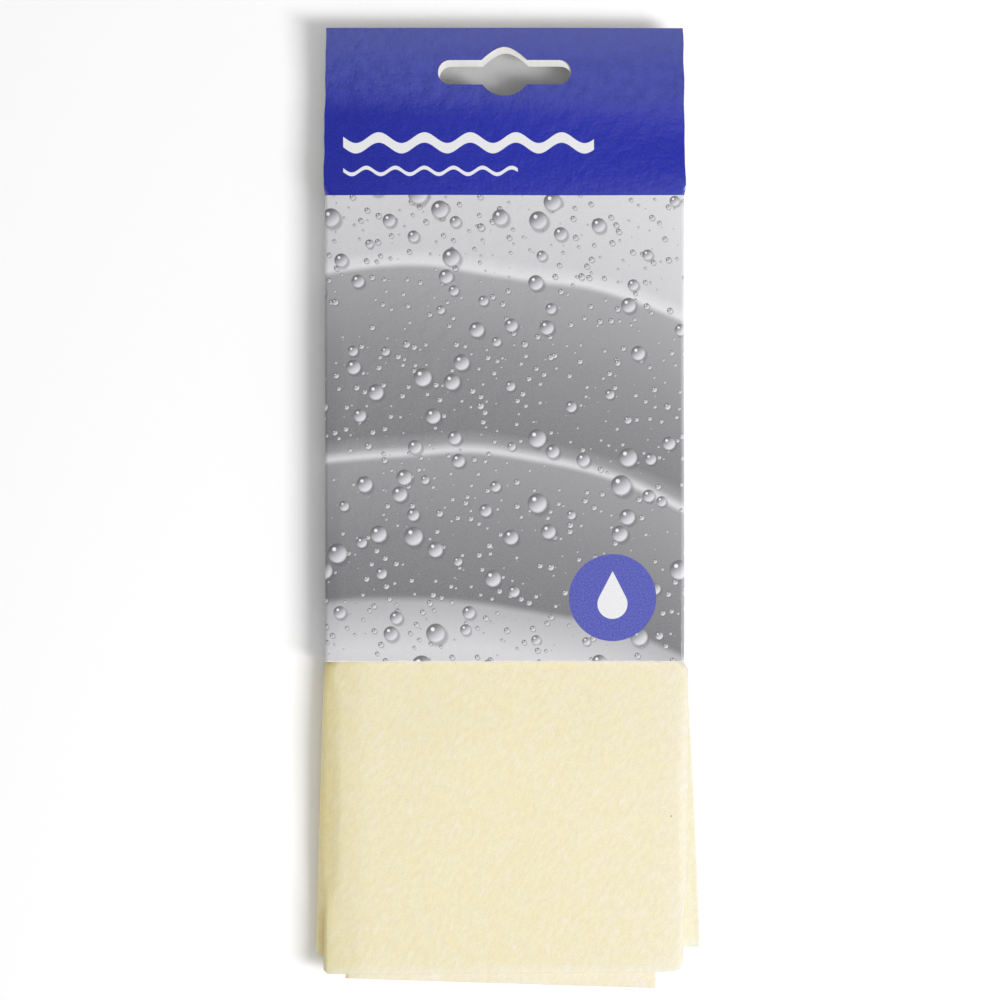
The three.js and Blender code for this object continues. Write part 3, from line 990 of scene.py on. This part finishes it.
# %% Helpers for the section
LAYER = 0.8 * MM
LAYER_OFFSET = 0.45 * MM
LEAF_HALF = LAYER_OFFSET + LAYER / 2
SQUARE = 0.4
FOLD_STEPS = 14
LEAF_STEP = 2.2 * MM
EDGE_STEP = 0.3 * MM
BACK_LEAF, SECOND_LEAF, INNER_LEAF, FRONT_LEAF = (
    lerp(cloth_low.z + LEAF_HALF, cloth_high.z - LEAF_HALF, place / 3) for place in range(4)
)


def station(x, z, normal, tail, pop=0.0, fan=0.0):
    """One point of the section: pop is the quick spread at the mouth, fan the slow one along the tail."""
    return {
        "x": x, "z": z, "square_x": x, "square_z": z, "out_x": normal[0], "out_z": normal[1],
        "tail": tail * MM, "pop": pop * MM, "fan": fan * MM, "dent": 0.0, "crease": 0.0,
    }


def between(first, second, share):
    return {key: lerp(first[key], second[key], share) for key in first}


def fold_stations(side, edge, reach, start, end):
    """Half an ellipse from one leaf to the next. Its square twin has the upper corner drawn out."""
    centre = edge - side * (reach + LEAF_HALF)
    middle = (start["z"] + end["z"]) / 2
    height = abs(start["z"] - end["z"]) / 2
    made = []
    for step in range(FOLD_STEPS + 1):
        share = step / FOLD_STEPS
        angle = -side * math.pi / 2 + share * math.pi
        cosine, sine = math.cos(angle), math.sin(angle)
        normal = Vector((cosine / reach, sine / height)).normalized()
        point = between(start, end, share)
        point.update(x=centre + reach * cosine, z=middle + height * sine, out_x=normal.x, out_z=normal.y)
        corner = SQUARE if sine > 0 else 1
        point["square_x"] = centre + math.copysign(reach * abs(cosine) ** corner, cosine)
        point["square_z"] = middle + math.copysign(height * abs(sine) ** corner, sine)
        point["share"] = share
        made.append(point)
    return made


def leaf(first, second, fine_start=False, fine_end=False):
    """Stations strictly between two others, with a narrow first or last strip along a cut edge."""
    width = abs(second["x"] - first["x"])
    count = round(width / LEAF_STEP)
    shares = [index / count for index in range(1, count)]
    if fine_start:
        shares = [EDGE_STEP / width, *shares]
    if fine_end:
        shares = [*shares, 1 - EDGE_STEP / width]
    return [between(first, second, share) for share in shares]


print("leaves at", [round(z / MM, 2) for z in (BACK_LEAF, SECOND_LEAF, INNER_LEAF, FRONT_LEAF)], "mm")

# %% [markdown]
# ## Turns of the cloth
# A fold in felt isn't drawn with a ruler. The tails of the leaves end at different heights, in millimetres
# below the mouth. The right turn springs out at the mouth and is pulled in at its end. The wide left turn
# goes over from the long front leaf to the shorter back one, fans out behind, and is dented and creased
# near its end. Simple curves along each turn say where.

# %% Turns and cut edges
UP, DOWN = (0, 1), (0, -1)
INNER_TAIL = 78.7
INNER_TURN_TAIL = 76.4
SECOND_TAIL = 73
FRONT_TAIL = 75.1
FRONT_SKEW = 0.6
BACK_TAIL = 70.9
BACK_SKEW = 1.4
INNER_EDGE_INSET = 6.1 * MM
INNER_TURN_INSET = 4.2 * MM
INNER_REACH = 0.95 * MM
RIGHT_REACH = 1.9 * MM
RIGHT_SPREAD = {"pop": 1.9, "fan": -0.2}
RIGHT_NOTCH = 1.4 * MM
RIGHT_DENT = -1.2 * MM
LEFT_REACH = 3.8 * MM
LEFT_SPREAD = {"pop": -0.8}
LEFT_NOTCH = 0.4 * MM
LEFT_FAN = (0.35, 2.3)
LEFT_DENT = 2.0 * MM
BACK_SPREAD = {"pop": 1.0, "fan": 3.8}


def peak(value, middle, width):
    """A bell curve: 1 at the middle, and almost 0 two widths away from it."""
    return math.exp(-(((value - middle) / width) ** 2))


inner_edge = station(cloth_high.x - INNER_EDGE_INSET, INNER_LEAF, UP, INNER_TAIL)
inner_turn = fold_stations(
    -1, cloth_low.x + INNER_TURN_INSET, INNER_REACH,
    station(0, INNER_LEAF, UP, INNER_TURN_TAIL), station(0, SECOND_LEAF, DOWN, SECOND_TAIL),
)
right_turn = fold_stations(
    1, cloth_high.x, RIGHT_REACH,
    station(0, SECOND_LEAF, DOWN, SECOND_TAIL, **RIGHT_SPREAD),
    station(0, FRONT_LEAF, UP, FRONT_TAIL - FRONT_SKEW, **RIGHT_SPREAD),
)
left_turn = fold_stations(
    -1, cloth_low.x, LEFT_REACH,
    station(0, FRONT_LEAF, UP, FRONT_TAIL, **LEFT_SPREAD),
    station(0, BACK_LEAF, DOWN, BACK_TAIL, **LEFT_SPREAD),
)
back_edge = station(cloth_high.x, BACK_LEAF, DOWN, BACK_TAIL - BACK_SKEW, **BACK_SPREAD)
for point in inner_turn:
    point["tail"] = lerp(INNER_TURN_TAIL, SECOND_TAIL, ease(point["share"], 0.45, 0.8)) * MM
for point in right_turn:
    point["tail"] -= RIGHT_NOTCH * math.sin(math.pi * point["share"]) ** 2
    point["dent"] = RIGHT_DENT
for point in left_turn:
    share = point["share"]
    point["tail"] = lerp(FRONT_TAIL, BACK_TAIL, ease(share, 0.2, 0.5)) * MM
    point["tail"] -= LEFT_NOTCH * peak(share, middle=0.62, width=0.15)
    point["fan"] = -lerp(*LEFT_FAN, ease(share, 0.2, 0.6)) * MM
    point["dent"] = LEFT_DENT * peak(share, middle=0.4, width=0.07)
    point["crease"] = peak(share, middle=0.44, width=0.05)
for point in [*inner_turn, *right_turn, *left_turn]:
    del point["share"]
print("turns:", len(inner_turn), "stations each")

# %% [markdown]
# ## Section and tints across
# The turns and leaves are joined into one section. Light soaks into felt, so it looks warm in the shade of
# the left turn and paler towards the right and on the inner leaf. A shader can let light soak in, but that
# is slow to render, so each station gets a tint of painted light and shade instead: warm light painted into
# the shaded left turn, painted light that makes the cloth paler towards the right and on the inner leaf,
# and a little painted shade on the right turn and on faces that look down near the right edge. The front
# leaf also dips a little towards its left turn.

# %% Join the section and tint it
NO_TINT = Vector((1, 1, 1))
WARM_LIGHT_IN_SHADE = Vector((1.16, 1.12, 0.9))
PALE_LIGHT = Vector((1.0, 1.01, 1.15))
PALE_LIGHT_FAR = 0.3
PALE_LIGHT_FAR_REACH = (0, 40 * MM)
PALE_LIGHT_NEAR = 0.5
PALE_LIGHT_NEAR_REACH = (34 * MM, 41 * MM)
PALE_LIGHT_TAIL = (75.5 * MM, 76.2 * MM)
LIT_SIDE_SHADE = Vector((0.9, 0.91, 0.95))
UNDER_SHADE = Vector((0.93, 0.97, 1.0))
UNDER_SHADE_REACH = (36 * MM, 42 * MM)
FRONT_DIP = 0.45 * MM
FRONT_DIP_REACH = (32 * MM, 42 * MM)

section = [
    inner_edge, *leaf(inner_edge, inner_turn[0], fine_start=True),
    *inner_turn, *leaf(inner_turn[-1], right_turn[0]),
    *right_turn, *leaf(right_turn[-1], left_turn[0]),
    *left_turn, *leaf(left_turn[-1], back_edge, fine_end=True), back_edge,
]
for point in section:
    x = point["x"]
    # painted light and shade: warm light in the shaded left turn, paler light towards the right and on the
    # inner leaf, shade on the right turn and on faces that look down near the right edge
    left = ease(-point["out_x"], 0.1, 0.7)
    right = ease(point["out_x"], 0.05, 0.6)
    pale = PALE_LIGHT_FAR * ease(x, *PALE_LIGHT_FAR_REACH) + PALE_LIGHT_NEAR * ease(x, *PALE_LIGHT_NEAR_REACH)
    pale = max(pale, ease(point["tail"], *PALE_LIGHT_TAIL))
    under = ease(-point["out_z"], 0.5, 1) * ease(x, *UNDER_SHADE_REACH)
    point["left"] = left
    point["tint"] = NO_TINT.lerp(WARM_LIGHT_IN_SHADE, left) * NO_TINT.lerp(PALE_LIGHT, pale)
    point["tint"] *= NO_TINT.lerp(LIT_SIDE_SHADE, right) * NO_TINT.lerp(UNDER_SHADE, under)
    dip = FRONT_DIP * ease(-x, *FRONT_DIP_REACH) * ease(point["z"], BACK_LEAF, FRONT_LEAF)
    point["z"] -= dip
    point["square_z"] -= dip
print(f"{len(section)} stations across the cloth")

# %% [markdown]
# ## Folding the cloth
# The sheet starts as a flat grid, one column for each station and one row for each step along its length:
# up the outer layer, over the top fold and down the inner layer. Each grid point is moved to its place on
# the folded pack. The rows outside the mouth swell, spread, sink to the table and end where the leaf was
# cut. A simulation would have to hold eight layers a tenth of a millimetre apart, so the folds are placed
# directly and a slow noise loosens them.

# %% Rows along the cloth, and the place of each point
TOP_STEPS = 8
ROW_STEP = 2.1 * MM
INNER_LAYER_SHORT = 0.5 * MM
LONGEST_TAIL = 75 * MM
TAIL_SINK = cloth_low.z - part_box("outer_tail")[0].z
TAIL_SWELL = 0.3
TAIL_SWELL_LENGTH = 25 * MM
PINCH_BY_MOUTH = 0.7
PINCH_LOST = 0.55
PINCH_REGAINED = 0.85
POP_LENGTH = 0.008
FAN_POWER = 0.7
RUFFLE = 0.3 * MM
RUFFLE_LENGTH = 26 * MM
FINE_RUFFLE = 0.07 * MM
FINE_RUFFLE_LENGTH = 7 * MM
RUFFLE_IN_SLEEVE = 0.25

fold_line = cloth_high.y - LAYER_OFFSET - LAYER / 2
edge_share = EDGE_STEP / LONGEST_TAIL
tail_shares = steps_between(0, 1, ROW_STEP / LONGEST_TAIL)
tail_shares = sorted([*tail_shares, edge_share, 1 - edge_share], reverse=True)
tail_rows = [(0, share) for share in tail_shares]
sleeve_rows = [(inside, 0.0) for inside in steps_between(0, fold_line - MOUTH, ROW_STEP)[1:]]
up_rows = [*tail_rows, *sleeve_rows]
turn_rows = [(math.pi * step / TOP_STEPS, fold_line - MOUTH, 0.0) for step in range(1, TOP_STEPS)]
rows = [
    *((0.0, *row) for row in up_rows),
    *turn_rows,
    *((math.pi, *row) for row in reversed(up_rows)),
]


def fold_cloth(point, row):
    """Where a point of the flat cloth goes: its station on the section, and its row along the length.

    A row is how far it has turned over the top fold, its way up the sleeve, and its share of the tail. The
    turns are pinched square by the mouth, round off below it, and are square again at the end.
    """
    turned, inside, share = row
    pinch = PINCH_BY_MOUTH - PINCH_LOST * ease(share, 0.05, 0.4) + PINCH_REGAINED * ease(share, 0.6, 0.88)
    x = lerp(point["x"], point["square_x"], pinch) + point["dent"] * ease(share, 0.62, 0.95)
    x += point["pop"] * (1 - math.exp(-share / POP_LENGTH)) + point["fan"] * share**FAN_POWER
    tail = point["tail"] - INNER_LAYER_SHORT * (turned > math.pi / 2)
    swell = 1 + TAIL_SWELL * ease(share * tail, 0, TAIL_SWELL_LENGTH)
    z = lerp(point["z"], point["square_z"], pinch) - cloth_low.z
    z = cloth_low.z + swell * z - TAIL_SINK * ease(share, 0, 1)
    y = MOUTH + inside - share * tail
    flat_out = math.cos(turned)
    out = Vector((point["out_x"] * flat_out, math.sin(turned), point["out_z"] * flat_out))
    place = Vector((x, y, z)) + out * LAYER_OFFSET
    loose = lerp(RUFFLE_IN_SLEEVE, 1, ease(share, 0, 0.2)) * place.z / cloth_high.z
    ground = Vector((place.x, place.y, 0))
    place.z += loose * RUFFLE * noise.noise(ground / RUFFLE_LENGTH)
    place.z += loose * FINE_RUFFLE * noise.noise(ground / FINE_RUFFLE_LENGTH)
    return place


print(f"{len(rows)} rows along the cloth")

# %% [markdown]
# ## Tints along the cloth
# Some tints change along a leaf. A deeper yellow band of painted shade runs beside the left fold, strongest
# under the mouth and drawn to the fold at its end. Painted shade makes the crease in the fold brown at the
# bottom, and a painted highlight makes the cut edge of the front leaf pale. The band's edge wavers a
# little, because nothing in felt is straight.

# %% Tints that change along a leaf
DEEP_SHADE = Vector((0.87, 0.85, 0.72))
CREASE_SHADE = Vector((0.75, 0.62, 0.42))
CUT_HIGHLIGHT = Vector((1.01, 1.05, 1.2))
UNDER_MOUTH = (0.02, 0.14)
BAND_EDGE = 38.4 * MM
BAND_EDGE_AT_MOUTH = 0.8 * MM
BAND_EDGE_AT_END = 3 * MM
BAND_SOFTNESS = 0.7 * MM
BAND_WAVE = 0.5 * MM
BAND_WAVE_LENGTH = 9 * MM
BAND_DEPTH = 0.65
RAMP_DEPTH = 0.35
RAMP_REACH = (31 * MM, 38 * MM)
MOUTH_DEPTH = 0.4
TURN_RELIEF = 0.8
TURN_RELIEF_LOST = 0.5
NOT_FRONT_TAIL = (75.3 * MM, 76 * MM)


def row_tint(point, share, along):
    """Painted light along a leaf: shade in a band by the left fold and in a crease, a highlight on the cut
    edge.
    """
    by_mouth = 1 - ease(share, *UNDER_MOUTH)
    edge = BAND_EDGE + BAND_EDGE_AT_MOUTH * by_mouth + BAND_EDGE_AT_END * ease(share, 0.7, 0.84)
    edge += BAND_WAVE * noise.noise(Vector((0.5, along / BAND_WAVE_LENGTH, 0.5)))
    band = BAND_DEPTH * ease(-point["x"], edge - BAND_SOFTNESS, edge + BAND_SOFTNESS)
    ramp = RAMP_DEPTH * ease(-point["x"], *RAMP_REACH)
    # painted shade: the band beside the left fold, deeper under the mouth
    deep = (band + ramp) * (1 + MOUTH_DEPTH * by_mouth)
    deep *= 1 - (TURN_RELIEF - TURN_RELIEF_LOST * by_mouth) * point["left"]
    # painted shade in the crease near its end
    crease = point["crease"] * ease(share, 0.8, 0.92)
    # painted highlight on the front leaf's cut edge
    cut = ease(share, 0.965, 1) * (1 - ease(point["tail"], *NOT_FRONT_TAIL))
    return NO_TINT.lerp(DEEP_SHADE, deep) * NO_TINT.lerp(CREASE_SHADE, crease) * NO_TINT.lerp(CUT_HIGHLIGHT, cut)


print(f"deep band {BAND_EDGE / MM:.1f} mm left of the middle")

# %% [markdown]
# ## Making the cloth
# The grid operator makes the flat sheet, and each of its points is then moved by the plan above. One row
# and one column of the folded sheet are measured, which gives every point its flat place for the felt's
# pattern. A Solidify modifier gives the felt its thickness on both sides.

# %% Make the cloth
columns = len(section) - 1
lengths = len(rows) - 1
cloth_form = bmesh.new()
bmesh.ops.create_grid(cloth_form, x_segments=columns, y_segments=lengths, size=0.5)
flat_cloth = cloth_form.verts.layers.float_vector.new("flat_cloth")
tint = cloth_form.verts.layers.float_vector.new("tint")
places = {}
for corner in cloth_form.verts:
    column = round((corner.co.x + 0.5) * columns)
    line = round((corner.co.y + 0.5) * lengths)
    places[corner] = (column, line)
    corner.co = fold_cloth(section[column], rows[line])
folded = {spot: corner.co for corner, spot in places.items()}
middle_row = len(up_rows) // 2
across = [0.0]
for column in range(columns):
    across.append(across[-1] + (folded[column + 1, middle_row] - folded[column, middle_row]).length)
along = [0.0]
for line in range(lengths):
    along.append(along[-1] + (folded[columns // 2, line + 1] - folded[columns // 2, line]).length)
for corner, (column, line) in places.items():
    corner[flat_cloth] = Vector((across[column], along[line], 0)) / MM
    point = section[column]
    tail_share = rows[line][2]
    corner[tint] = point["tint"] * row_tint(point, tail_share, corner.co.y)
for face in cloth_form.faces:
    face.smooth = True
cloth = add_piece("chamois_cloth", cloth_form, ["chamois_felt"])
thicken(cloth, LAYER, 0)
print(f"cloth {across[-1] / MM:.0f} by {along[-1] / MM:.0f} mm, {len(cloth.data.polygons)} faces")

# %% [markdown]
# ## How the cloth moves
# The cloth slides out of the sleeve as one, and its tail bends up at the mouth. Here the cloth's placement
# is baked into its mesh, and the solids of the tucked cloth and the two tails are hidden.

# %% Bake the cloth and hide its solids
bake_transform(cloth)
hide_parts("tucked_cloth", "outer_tail", "inner_tail")
